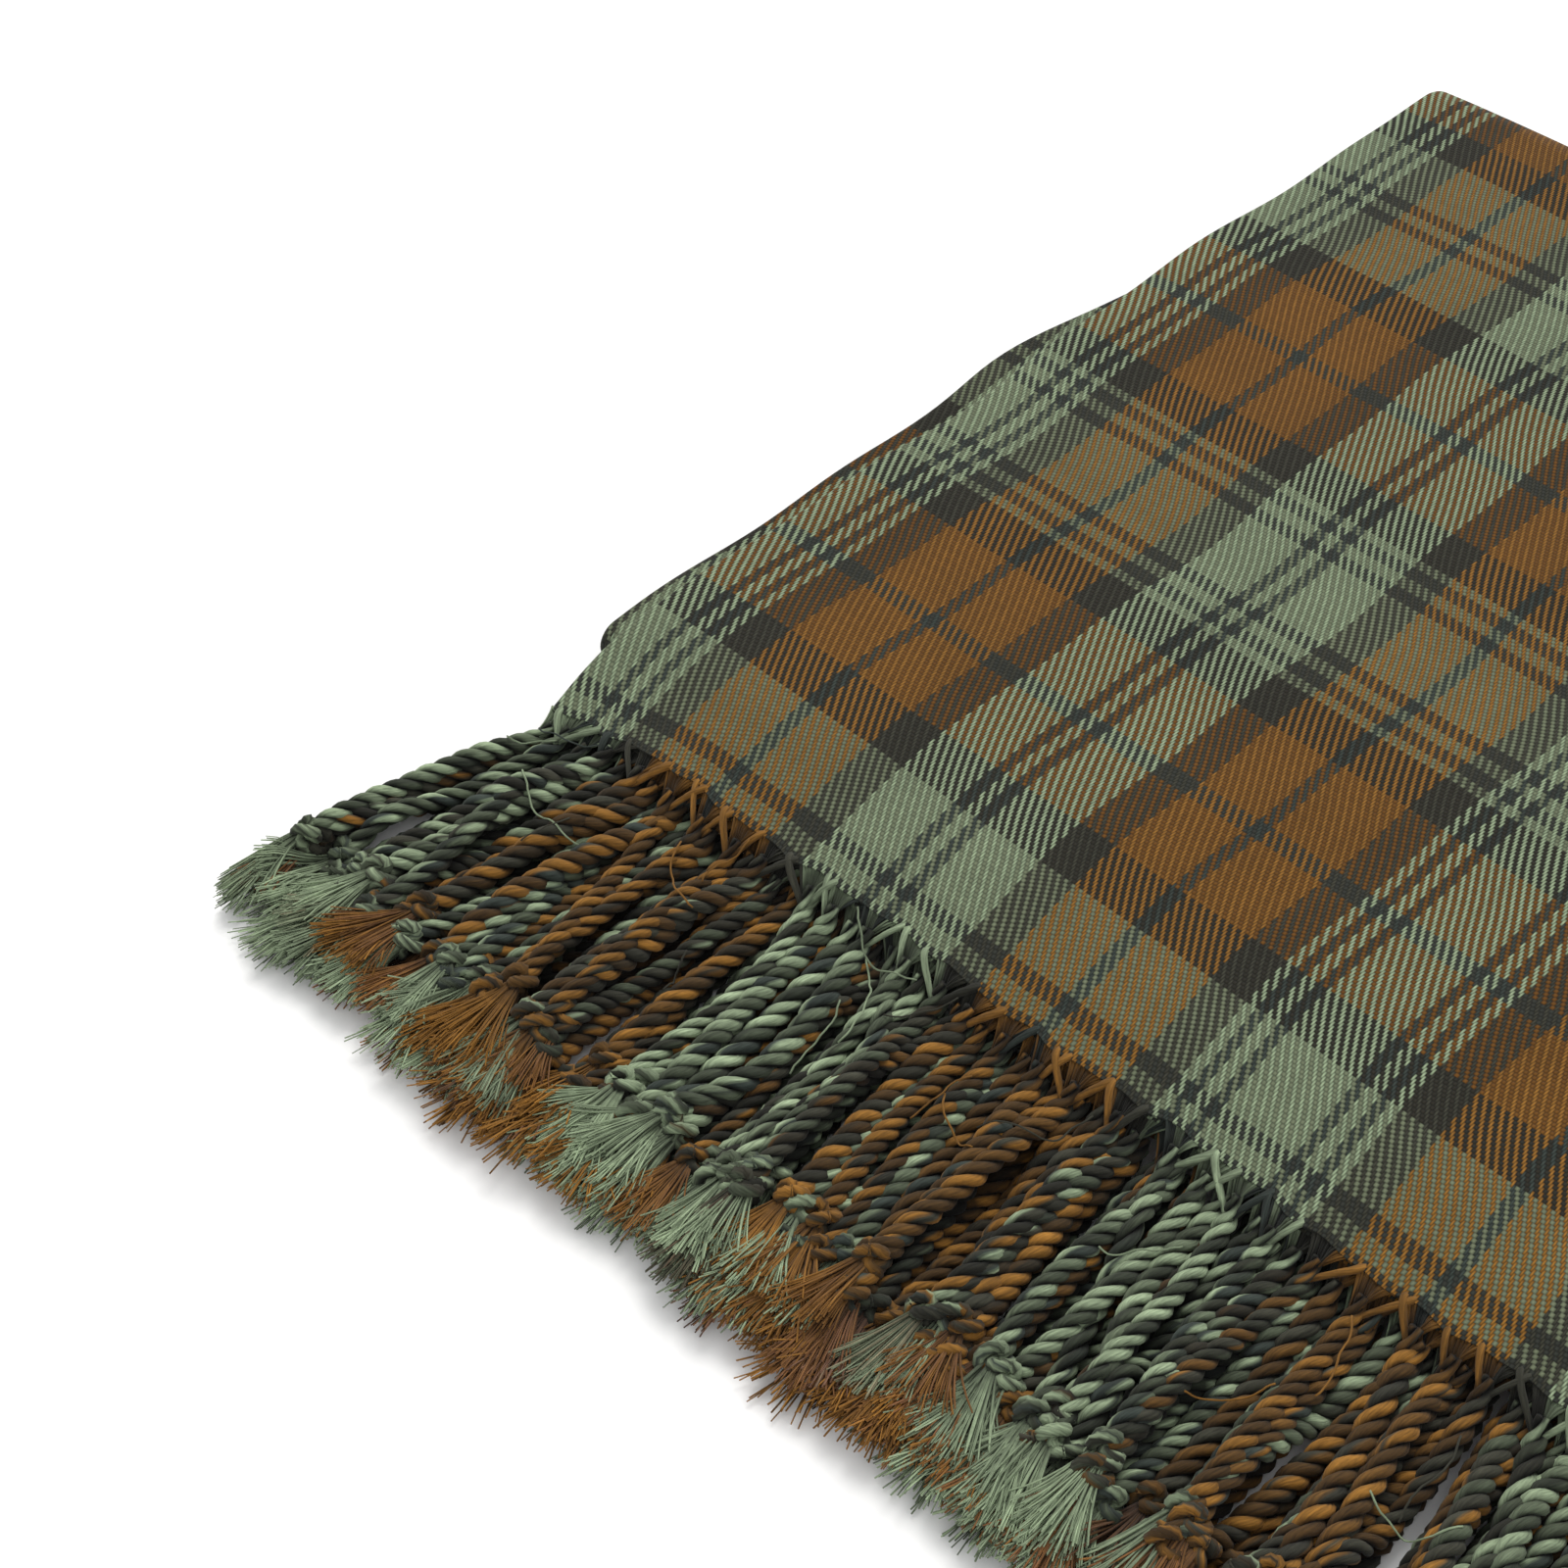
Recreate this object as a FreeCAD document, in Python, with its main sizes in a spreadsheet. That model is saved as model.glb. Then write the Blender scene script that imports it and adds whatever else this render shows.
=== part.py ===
import FreeCAD, Part
import math
import os

# A woven throw, 130 x 170 cm before its fringe, folded in three across its width and then twice in
# half along its length. The pack rests on Z = 0. X runs along the fringed edge, and Y runs from the
# fringe tips to the back fold. The origin is the centre of the pack's footprint, fringe included.
#
# The twelve plies lie one above another, ply 0 at the bottom. Plies 0 to 5 are the lower half and
# plies 6 to 11 the upper half, which opens about the back fold like the cover of a book.

SHEET = {
    "throw_width": 1300.0,  # the woven cloth, selvedge to selvedge
    "throw_length": 1700.0,  # the woven cloth, fringe root to fringe root
    "cloth_thick": 1.9,  # brushed twill, unpressed
    "ply_gap": 0.4,  # air between two plies
    "front_setback": 30.0,  # how far the lower half's front fold lies behind the fringe root
    "lip_length": 24.0,  # the upper half's sloping front lip
    "lip_radius": 30.0,  # inside radius where the lip turns down
    "lip_angle": 12.0,  # slope of the lip, in degrees
    "fringe_reach": 118.0,  # fringe root to brush tip, measured along Y
    "cord_radius": 2.2,  # two-ply twisted cord
    "cord_turn_radius": 20.0,  # where a cord levels out
    "cord_count": 33.0,  # cords on each ply's fringed end
    "knot_radius": 3.2,
    "knot_length": 7.0,
    "knot_round": 1.4,  # rounding of a knot's two ends
    "brush_root_radius": 1.8,
    "brush_tip_radius": 3.0,
    "brush_length": 26.0,
    "fringe_level": 3.5,  # height of the lowest cords' centres
    "level_step": 6.5,  # from one level of cords to the next
}
WIDTH_FOLDS = 3  # plies in each length panel
PANELS = 4  # length panels in the pack
PLIES = WIDTH_FOLDS * PANELS
HALF = PLIES // 2  # plies in the lower half
DEGREES_IN_HALF_TURN = 180.0
VOLUME_TOLERANCE = 0.001

X_AXIS = FreeCAD.Vector(1, 0, 0)
Y_AXIS = FreeCAD.Vector(0, 1, 0)

doc = FreeCAD.newDocument("folded_throw")


def make_sheet():
    """The spreadsheet of driving dimensions, one row for each."""
    sheet = doc.addObject("Spreadsheet::Sheet", "sizes")
    for row, (alias, value) in enumerate(SHEET.items(), start=1):
        sheet.set("A%d" % row, alias)
        sheet.set("B%d" % row, str(value))
        sheet.setAlias("B%d" % row, alias)
    doc.recompute()
    return sheet


sizes = make_sheet()
nodes = []


def size(alias):
    return float(sizes.get(alias))


PITCH = size("cloth_thick") + size("ply_gap")
PACK_WIDTH = size("throw_width") / WIDTH_FOLDS
PACK_DEPTH = size("throw_length") / PANELS
OVERALL_DEPTH = PACK_DEPTH + size("fringe_reach")
HEIGHT = (PLIES - 1) * PITCH + size("cloth_thick")
SIDE_FOLD_RADIUS = (PITCH + size("cloth_thick")) / 2
FLAT_WIDTH = PACK_WIDTH - 2 * SIDE_FOLD_RADIUS
X_LEFT = -FLAT_WIDTH / 2
X_RIGHT = FLAT_WIDTH / 2
Y_ROOT = size("fringe_reach") - OVERALL_DEPTH / 2  # the top ply's fringed edge
BACK_AXIS_Y = OVERALL_DEPTH / 2 - HEIGHT / 2
BACK_AXIS_Z = HEIGHT / 2
FRONT_AXIS_Z = ((HALF - 1) * PITCH + size("cloth_thick")) / 2
FRONT_AXIS_Y = Y_ROOT + size("front_setback") + FRONT_AXIS_Z
LIP_ANGLE = math.radians(size("lip_angle"))
TOP_LIP_RADIUS = size("lip_radius") + (HALF - 1) * PITCH + size("cloth_thick")
LIP_START_Y = Y_ROOT + size("lip_length") * math.cos(LIP_ANGLE) + TOP_LIP_RADIUS * math.sin(LIP_ANGLE)
LIP_AXIS_Z = HALF * PITCH - size("lip_radius")

# The same sizes as formulas of the sheet, for the objects' expressions.
PITCH_EXPRESSION = "(sizes.cloth_thick + sizes.ply_gap)"
FLAT_WIDTH_EXPRESSION = "sizes.throw_width / %d - %s - sizes.cloth_thick" % (WIDTH_FOLDS, PITCH_EXPRESSION)


def bind(item, **expressions):
    for name, formula in expressions.items():
        item.setExpression(name, formula)


def place(item, x, y, z, axis=X_AXIS, degrees=0.0):
    item.Placement = FreeCAD.Placement(FreeCAD.Vector(x, y, z), FreeCAD.Rotation(axis, degrees))


def keep(item, label):
    """Marks a finished object as a sub-part of the throw."""
    item.Label = label
    nodes.append(item)
    return item


def slab(name, length_y, y, z):
    """A flat stretch of one ply. length_y is a formula or a number."""
    box = doc.addObject("Part::Box", name)
    bind(box, Length=FLAT_WIDTH_EXPRESSION, Width=str(length_y), Height="sizes.cloth_thick")
    place(box, X_LEFT, y, z)
    return box


def shell_sector(name, inner, length, degrees):
    """A slice of a tube, one cloth thick, along its own Z. inner and length are formulas."""
    outer_part = doc.addObject("Part::Cylinder", name + "_outer")
    bind(outer_part, Radius="%s + sizes.cloth_thick" % inner, Height=length)
    outer_part.Angle = degrees
    inner_part = doc.addObject("Part::Cylinder", name + "_inner")
    bind(inner_part, Radius=inner, Height=length)
    inner_part.Angle = degrees
    shell = doc.addObject("Part::Cut", name)
    shell.Base = outer_part
    shell.Tool = inner_part
    return shell


def bend_inner(step):
    """Inside radius of the bend that joins the plies `step` places either side of a fold's middle."""
    return "(sizes.ply_gap / 2 + %d * %s)" % (step, PITCH_EXPRESSION)


def lay_along_x(shell, y, z, start_degrees):
    """Lays a tube slice along X, its sweep starting start_degrees round from +Y towards +Z."""
    standing = FreeCAD.Rotation(FreeCAD.Vector(0, 0, 1), FreeCAD.Vector(1, 0, 0))
    own_x = standing.multVec(FreeCAD.Vector(1, 0, 0))
    now = math.degrees(math.atan2(own_x.z, own_x.y))
    turned = FreeCAD.Rotation(X_AXIS, start_degrees - now).multiply(standing)
    shell.Placement = FreeCAD.Placement(FreeCAD.Vector(X_LEFT, y, z), turned)


def lower_panels():
    length = BACK_AXIS_Y - FRONT_AXIS_Y
    for ply in range(HALF):
        label = "lower_ply_%d" % (ply + 1)
        keep(slab(label, length, FRONT_AXIS_Y, ply * PITCH), label)


def upper_panels():
    """Each upper ply is flat from the back fold, then turns down to a sloping lip at the front."""
    for ply in range(HALF, PLIES):
        label = "upper_ply_%d" % (ply - HALF + 1)
        flat = slab(label + "_flat", BACK_AXIS_Y - LIP_START_Y, LIP_START_Y, ply * PITCH)
        step = ply - HALF
        inner = "(sizes.lip_radius + %d * %s)" % (step, PITCH_EXPRESSION)
        turn = shell_sector(label + "_turn", inner, FLAT_WIDTH_EXPRESSION, size("lip_angle"))
        lay_along_x(turn, LIP_START_Y, LIP_AXIS_Z, 90.0)
        lip = slab(label + "_lip", "sizes.lip_length", 0, 0)
        radius = size("lip_radius") + step * PITCH
        along = FreeCAD.Vector(0, -math.cos(LIP_ANGLE), -math.sin(LIP_ANGLE))
        out = FreeCAD.Vector(0, -math.sin(LIP_ANGLE), math.cos(LIP_ANGLE))
        corner = FreeCAD.Vector(X_LEFT, LIP_START_Y, LIP_AXIS_Z) + out * radius + along * size("lip_length")
        lip.Placement = FreeCAD.Placement(corner, FreeCAD.Rotation(X_AXIS, size("lip_angle")))
        whole = doc.addObject("Part::MultiFuse", label)
        whole.Shapes = [flat, turn, lip]
        keep(whole, label)


def cross_fold(prefix, count, y, z, start_degrees):
    """The nested half-round bends of a fold that runs along X, the innermost first."""
    for step in range(count):
        label = "%s_%d" % (prefix, step + 1)
        bend = shell_sector(label, bend_inner(step), FLAT_WIDTH_EXPRESSION, DEGREES_IN_HALF_TURN)
        lay_along_x(bend, y, z, start_degrees)
        keep(bend, label)


def side_fold(label, low_ply, left, y, length):
    """The half-round bend that joins low_ply to the ply above it along the left or right side."""
    bend = shell_sector(label, bend_inner(0), str(length), DEGREES_IN_HALF_TURN)
    z = low_ply * PITCH + SIDE_FOLD_RADIUS
    # Laid along -Y, the sweep's start points down on the left and up on the right.
    standing = FreeCAD.Rotation(FreeCAD.Vector(0, 0, 1), Y_AXIS)
    own_x = standing.multVec(FreeCAD.Vector(1, 0, 0))
    now = math.degrees(math.atan2(own_x.x, own_x.z))
    wanted = DEGREES_IN_HALF_TURN if left else 0.0
    turned = FreeCAD.Rotation(Y_AXIS, wanted - now).multiply(standing)
    bend.Placement = FreeCAD.Placement(FreeCAD.Vector(X_LEFT if left else X_RIGHT, y, z), turned)
    keep(bend, label)


def side_folds():
    """Each length panel is a zigzag of three plies: one left fold and one right fold."""
    for panel in range(PANELS):
        low = panel * WIDTH_FOLDS
        left_is_low = panel % 2 == 0
        start = FRONT_AXIS_Y if low < HALF else LIP_START_Y
        half = "lower" if low < HALF else "upper"
        name = "%s_panel_%d" % (half, panel % 2 + 1)
        side_fold(name + "_left_fold", low if left_is_low else low + 1, True, start, BACK_AXIS_Y - start)
        side_fold(name + "_right_fold", low + 1 if left_is_low else low, False, start, BACK_AXIS_Y - start)


def cord_path(root, level):
    """A cord's centreline: down the lip's slope, round to level, then straight to its knot."""
    along = FreeCAD.Vector(0, -math.cos(LIP_ANGLE), -math.sin(LIP_ANGLE))
    radius = size("cord_turn_radius")
    drop = root.z - level - radius * (1 - math.cos(LIP_ANGLE))
    bend_start = root + along * (drop / math.sin(LIP_ANGLE))
    centre = bend_start + FreeCAD.Vector(0, -math.sin(LIP_ANGLE), math.cos(LIP_ANGLE)) * radius
    half_turn = LIP_ANGLE / 2
    middle = centre + FreeCAD.Vector(0, math.sin(half_turn), -math.cos(half_turn)) * radius
    bend_end = FreeCAD.Vector(root.x, centre.y, level)
    knot_y = -OVERALL_DEPTH / 2 + size("brush_length") + size("knot_length")
    end = FreeCAD.Vector(root.x, knot_y, level)
    edges = [
        Part.LineSegment(root, bend_start).toShape(),
        Part.Arc(bend_start, middle, bend_end).toShape(),
        Part.LineSegment(bend_end, end).toShape(),
    ]
    return Part.Wire(edges), along, end


def cord_solid(root, level):
    path, along, end = cord_path(root, level)
    radius = size("cord_radius")
    section = Part.Wire(Part.Circle(root, along, radius).toShape())
    solid = path.makePipeShell([section], True, False)
    expected = math.pi * radius**2 * path.Length
    if abs(solid.Volume - expected) > expected * VOLUME_TOLERANCE:
        raise RuntimeError("a fringe cord's volume is %.1f, not %.1f" % (solid.Volume, expected))
    return solid, end


def knot_solid(end):
    length = size("knot_length")
    barrel = Part.makeCylinder(size("knot_radius"), length, end, -Y_AXIS)
    rims = [edge for edge in barrel.Edges if edge.Closed]
    return barrel.makeFillet(size("knot_round"), rims)


def brush_solid(end):
    start = end - Y_AXIS * size("knot_length")
    return Part.makeCone(
        size("brush_root_radius"), size("brush_tip_radius"), size("brush_length"), start, -Y_AXIS
    )


def copies_along_x(master, offset):
    """A row of cords. offset is in cord pitches, counted from a quarter pitch inside the edge."""
    pitch = FLAT_WIDTH / size("cord_count")
    first = X_LEFT + pitch * (0.25 + offset)
    count = int(size("cord_count"))
    return Part.makeCompound([master.translated(X_AXIS * (first + i * pitch)) for i in range(count)])


def fringe_rows():
    """One row of cords, knots and brushes on each upper ply's fringed end. Rows on neighbouring
    plies stand half a cord's pitch apart, so that two rows share each level."""
    out = FreeCAD.Vector(0, -math.sin(LIP_ANGLE), math.cos(LIP_ANGLE))
    along = FreeCAD.Vector(0, -math.cos(LIP_ANGLE), -math.sin(LIP_ANGLE))
    for row in range(HALF):
        middle = size("lip_radius") + row * PITCH + size("cloth_thick") / 2
        root = FreeCAD.Vector(0, LIP_START_Y, LIP_AXIS_Z) + out * middle + along * size("lip_length")
        level = size("fringe_level") + (row // 2) * size("level_step")
        cord, end = cord_solid(root, level)
        offset = 0.5 * (row % 2)
        for kind, master in (("cords", cord), ("knots", knot_solid(end)), ("brushes", brush_solid(end))):
            label = "fringe_%d_%s" % (row + 1, kind)
            item = doc.addObject("Part::Feature", label)
            item.Shape = copies_along_x(master, offset)
            item.Placement = FreeCAD.Placement()
            keep(item, label)


def check_and_export():
    doc.recompute()
    for item in doc.Objects:
        if "Invalid" in item.State or "Error" in item.State:
            raise RuntimeError("%s did not recompute: %s" % (item.Label, item.State))
    os.makedirs("parts", exist_ok=True)
    for item in nodes:
        if item.Shape.isNull() or not item.Shape.isValid() or not item.Shape.Solids:
            raise RuntimeError("%s has no valid solid" % item.Label)
    for item in nodes:
        item.Shape.exportStep("parts/%s.step" % item.Label)
    print("%d sub-parts written" % len(nodes))


lower_panels()
upper_panels()
cross_fold("front_fold_ply", HALF // 2, FRONT_AXIS_Y, FRONT_AXIS_Z, 90.0)
cross_fold("back_fold_ply", HALF, BACK_AXIS_Y, BACK_AXIS_Z, -90.0)
side_folds()
fringe_rows()
check_and_export()
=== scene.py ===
import math

import bpy
import numpy as np
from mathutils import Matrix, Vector


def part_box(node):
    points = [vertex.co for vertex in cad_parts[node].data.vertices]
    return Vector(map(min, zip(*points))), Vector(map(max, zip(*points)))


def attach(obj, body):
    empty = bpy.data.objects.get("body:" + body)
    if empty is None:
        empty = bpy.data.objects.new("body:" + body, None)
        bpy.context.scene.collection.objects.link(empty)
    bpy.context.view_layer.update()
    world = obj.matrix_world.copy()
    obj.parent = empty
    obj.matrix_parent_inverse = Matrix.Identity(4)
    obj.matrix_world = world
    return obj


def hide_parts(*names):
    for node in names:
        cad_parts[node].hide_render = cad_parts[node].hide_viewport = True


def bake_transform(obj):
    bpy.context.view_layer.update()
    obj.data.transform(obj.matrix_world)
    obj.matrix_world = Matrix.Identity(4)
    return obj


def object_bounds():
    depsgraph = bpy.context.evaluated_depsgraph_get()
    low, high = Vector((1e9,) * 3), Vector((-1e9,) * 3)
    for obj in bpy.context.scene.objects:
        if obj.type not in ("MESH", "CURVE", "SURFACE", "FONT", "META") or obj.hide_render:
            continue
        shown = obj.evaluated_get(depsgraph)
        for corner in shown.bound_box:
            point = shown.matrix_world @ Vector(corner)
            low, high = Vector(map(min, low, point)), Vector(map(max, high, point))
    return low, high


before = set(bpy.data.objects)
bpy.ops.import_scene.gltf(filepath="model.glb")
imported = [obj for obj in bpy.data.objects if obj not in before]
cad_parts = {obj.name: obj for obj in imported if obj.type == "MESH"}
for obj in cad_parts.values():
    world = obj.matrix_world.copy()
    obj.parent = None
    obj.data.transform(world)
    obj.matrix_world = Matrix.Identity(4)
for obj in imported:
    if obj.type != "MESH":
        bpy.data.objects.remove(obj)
CAD_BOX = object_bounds()

# ---------------------------------------------------------------------------------------------
# Sizes, in metres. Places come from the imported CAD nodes.
# ---------------------------------------------------------------------------------------------
PLIES, HALF, WIDTH_FOLDS = 12, 6, 3
ply_boxes = [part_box("lower_ply_%d" % (k + 1)) for k in range(HALF)]
ply_boxes += [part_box("upper_ply_%d" % (k + 1)) for k in range(HALF)]
CLOTH = ply_boxes[0][1][2] - ply_boxes[0][0][2]
CLOTH_SHARE = 0.86  # of a ply's height, so that the plies lie clear of each other
PITCH = ply_boxes[1][0][2] - ply_boxes[0][0][2]
PLY_TOPS = [box[1][2] for box in ply_boxes]
PLY_Z = [top - CLOTH / 2 for top in PLY_TOPS]
X_LEFT, X_RIGHT = ply_boxes[0][0][0], ply_boxes[0][1][0]
FLAT = X_RIGHT - X_LEFT
FOLD_R = PITCH / 2
Y_ROOT = ply_boxes[-1][0][1]
Y_BACK = ply_boxes[-1][1][1]
Y_FRONT_FOLD = ply_boxes[0][0][1]
Y_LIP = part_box("upper_panel_2_left_fold")[0][1]
PACK_TOP = PLY_TOPS[-1]
BACK_Z = (PLY_Z[0] + PLY_Z[-1]) / 2
FRONT_Z = (PLY_Z[0] + PLY_Z[HALF - 1]) / 2
FOLD_REACH = PLY_Z[-1] - BACK_Z
SECOND_SET_BACK = 0.002  # how far behind the top panel's fringed edge the second panel's lies
RIM_ANGLE = math.radians(55)  # the cut edges are crisper than this, and no bend is

PACK_DEPTH_UNITS = 7.2  # the pack's depth, counted in the sett's units
UNIT = (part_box("back_fold_ply_6")[1][1] - Y_ROOT) / PACK_DEPTH_UNITS  # one band's centre to the next
WEFT_UNIT = 1.439 * UNIT  # the same along the warp, where the picks lie further apart
ENDS_PER_UNIT = 93
PICKS_PER_UNIT = 67
ROOT_MARGIN = 0.08 * UNIT
SETT_LEFT = CAD_BOX[0][0]  # where the left fold's wide pale band has its centre
SETT_ROOT = Y_ROOT + ROOT_MARGIN  # where the double-line pale band along the fringe has its centre

# Thread colours, linear.
PALE = (0.202, 0.256, 0.160)
BROWN = (0.182, 0.084, 0.014)
DARK = (0.030, 0.030, 0.021)
LINE = (0.026, 0.034, 0.029)
WEFT_LINE = (0.042, 0.050, 0.041)
WEFT_TINT = (0.97, 0.89, 0.88, 1.0)  # the weft's yarn is a little browner than the warp's

# Band edges over half a repeat, from the wide pale band's centre to the double-line band's, in UNITs.
SETT = [
    (0.000, PALE),
    (0.175, LINE),
    (0.230, PALE),
    (0.290, LINE),
    (0.347, PALE),
    (0.402, DARK),
    (0.595, BROWN),
    (0.965, LINE),
    (1.035, BROWN),
    (1.370, DARK),
    (1.575, PALE),
    (1.900, LINE),
    (1.967, PALE),
]
HALF_REPEAT = 2.0


# ---------------------------------------------------------------------------------------------
# Mesh helpers
# ---------------------------------------------------------------------------------------------
def link(obj):
    bpy.context.scene.collection.objects.link(obj)
    return obj


def quad_object(name, verts, quads, uv=None, colour=None):
    """A smooth mesh object from arrays: verts (n, 3), quads (m, 4), uv (n, 2), colour (n, 3)."""
    mesh = bpy.data.meshes.new(name)
    quads = np.asarray(quads, np.int32)
    mesh.vertices.add(len(verts))
    mesh.vertices.foreach_set("co", np.asarray(verts, np.float32).ravel())
    mesh.loops.add(quads.size)
    mesh.loops.foreach_set("vertex_index", quads.ravel())
    mesh.polygons.add(len(quads))
    mesh.polygons.foreach_set("loop_start", np.arange(0, quads.size, 4, dtype=np.int32))
    mesh.polygons.foreach_set("use_smooth", np.ones(len(quads), bool))
    if uv is not None:
        layer = mesh.uv_layers.new(name="cloth")
        layer.data.foreach_set("uv", np.asarray(uv, np.float32)[quads.ravel()].ravel())
    if colour is not None:
        layer = mesh.color_attributes.new("yarn", "FLOAT_COLOR", "POINT")
        rgba = np.ones((len(verts), 4), np.float32)
        rgba[:, :3] = colour
        layer.data.foreach_set("color", rgba.ravel())
    mesh.update(calc_edges=True)
    mesh.validate()
    return link(bpy.data.objects.new(name, mesh))


def grid_quads(rows, columns):
    index = np.arange(rows * columns).reshape(rows, columns)
    return np.stack([index[:-1, :-1], index[:-1, 1:], index[1:, 1:], index[1:, :-1]], -1).reshape(-1, 4)


# Painted shade: yarn deep in the fringe's pile is darkened in its colour.
SHADE_STARTS = 0.0010  # how deep in the pile the painted shade on yarn begins, from above or from below
SHADE_FADES = 0.0022
SHADE_DARKEST = 0.06


class Pile:
    """Collects many small quad meshes, then makes one object of them."""

    def __init__(self):
        self.verts, self.quads, self.uv, self.colour, self.count = [], [], [], [], 0

    def add(self, verts, quads, uv, colour):
        verts = np.array(verts)
        verts[:, 0] = hemmed(verts[:, 0])
        self.verts.append(verts)
        self.quads.append(quads + self.count)
        self.uv.append(uv)
        self.colour.append(np.array(colour))
        self.count += len(verts)

    def paint_pile_shade(self, heights):
        """Paints shade into the colour of yarn that lies deep in the pile, where little light reaches."""
        for number, verts in enumerate(self.verts):
            light = np.exp(-heights.depth(verts) / SHADE_FADES)
            self.colour[number] = self.colour[number] * (SHADE_DARKEST + (1 - SHADE_DARKEST) * light)[:, None]

    def make(self, name):
        return quad_object(
            name,
            np.concatenate(self.verts),
            np.concatenate(self.quads),
            np.concatenate(self.uv),
            np.concatenate(self.colour),
        )


def frames(path):
    """Tangents and two normals along a path, with the first normal kept as level as it can be."""
    tangent = np.gradient(path, axis=0)
    tangent /= np.linalg.norm(tangent, axis=1, keepdims=True) + 1e-12
    side = np.cross(tangent, [0.0, 0.0, 1.0])
    weak = np.linalg.norm(side, axis=1) < 0.2
    side[weak] = np.cross(tangent[weak], [1.0, 0.0, 0.0])
    for i in range(1, len(side)):
        if side[i] @ side[i - 1] < 0:
            side[i] = -side[i]
    side /= np.linalg.norm(side, axis=1, keepdims=True)
    return tangent, side, np.cross(tangent, side)


def lengths(path):
    return np.concatenate([[0], np.cumsum(np.linalg.norm(np.diff(path, axis=0), axis=1))])


CAPS = {
    4: [(0, 1, 2, 3)],
    6: [(0, 1, 2, 3), (0, 3, 4, 5)],
    8: [(0, 1, 2, 7), (2, 3, 6, 7), (3, 4, 5, 6)],
}


def tube(pile, path, radius, sides, colours, turn=0.0):
    """A closed tube along path. radius is one number or one for each point; colours is one colour for
    each side; turn is how far, in radians for each metre, the sides wind round the tube."""
    along = lengths(path)
    _, side, up = frames(path)
    radius = np.broadcast_to(radius, len(path))
    angle = np.arange(sides) * 2 * math.pi / sides
    a = angle[None, :] + turn * along[:, None]
    ring = side[:, None, :] * np.cos(a)[..., None] + up[:, None, :] * np.sin(a)[..., None]
    verts = (path[:, None, :] + ring * radius[:, None, None]).reshape(-1, 3)
    index = np.arange(len(path) * sides).reshape(len(path), sides)
    after = np.roll(index, -1, axis=1)
    quads = np.stack([index[:-1], after[:-1], after[1:], index[1:]], -1).reshape(-1, 4)
    caps = np.array(CAPS[sides])
    last = (len(path) - 1) * sides
    quads = np.concatenate([quads, caps[:, ::-1], caps + last])
    uv = np.stack(np.broadcast_arrays(angle[None, :] / (2 * math.pi), along[:, None]), -1).reshape(-1, 2)
    colour = np.broadcast_to(np.asarray(colours)[None], (len(path), sides, 3)).reshape(-1, 3)
    pile.add(verts, quads, uv, colour)


def smoothstep(x):
    x = np.clip(x, 0.0, 1.0)
    return x * x * (3 - 2 * x)


# ---------------------------------------------------------------------------------------------
# The cloth: one sheet, in three across its width and in four along its length
# ---------------------------------------------------------------------------------------------
FOLD_ARC = math.pi * FOLD_R
FLAT_END_1 = FOLD_ARC / 2 + FLAT  # the outer ply's selvedge, measured from the left fold's middle
FLAT_END_2 = -FOLD_ARC / 2 - FLAT  # where the middle ply meets the right fold
FLAT_END_3 = FLAT_END_2 - FOLD_ARC - FLAT  # the inner ply's selvedge


def across(w):
    """Where a thread at signed distance w from the left fold's middle lies: its x, and its place in
    the panel's three plies, from 0, the outer ply, to 2."""
    w = np.asarray(w, float)
    x = np.where(w > 0, X_LEFT + w - FOLD_ARC / 2, X_LEFT - w - FOLD_ARC / 2)
    place = np.where(w > 0, 0.0, 1.0)
    left = np.abs(w) <= FOLD_ARC / 2
    x = np.where(left, X_LEFT - FOLD_R * np.cos(w / FOLD_R), x)
    place = np.where(left, 0.5 - 0.5 * np.sin(w / FOLD_R), place)
    past = w - (FLAT_END_2 - FOLD_ARC / 2)
    right = np.abs(past) <= FOLD_ARC / 2
    x = np.where(right, X_RIGHT + FOLD_R * np.cos(past / FOLD_R), x)
    place = np.where(right, 1.5 - 0.5 * np.sin(past / FOLD_R), place)
    third = past < -FOLD_ARC / 2
    x = np.where(third, X_RIGHT + past + FOLD_ARC / 2, x)
    place = np.where(third, 2.0, place)
    return x, place


def thread_at(x, place):
    """The signed distance from the left fold's middle of the thread that lies at x in ply 0, 1 or 2."""
    if place == 0:
        return FOLD_ARC / 2 + (x - X_LEFT)
    if place == 1:
        return -FOLD_ARC / 2 - (x - X_LEFT)
    return FLAT_END_2 - FOLD_ARC - (X_RIGHT - x)


# The pack's loft: its mean, then waves as (share, turns across, turns along, phase), then how much
# less it is at the sides and over what share of the width.
LOFT = 1.02
LOFT_WAVES = (
    (0.022, 7.1, 2.3, 0.4),
    (0.020, 4.3, -8.7, 1.9),
    (0.011, 15.0, 6.0, 0.0),
    (0.006, 31.0, -22.0, 0.8),
)
SIDE_DROP, SIDE_REACH = 0.035, 0.03

# The lower half's shift to the left, how far from the front fold it lasts and over what length it ends.
SHIFT, SHIFT_LASTS, SHIFT_ENDS = 0.0175, 0.16, 0.14
SHIFT_WAVE, SHIFT_TURNS = 0.002, 21.0

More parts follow.
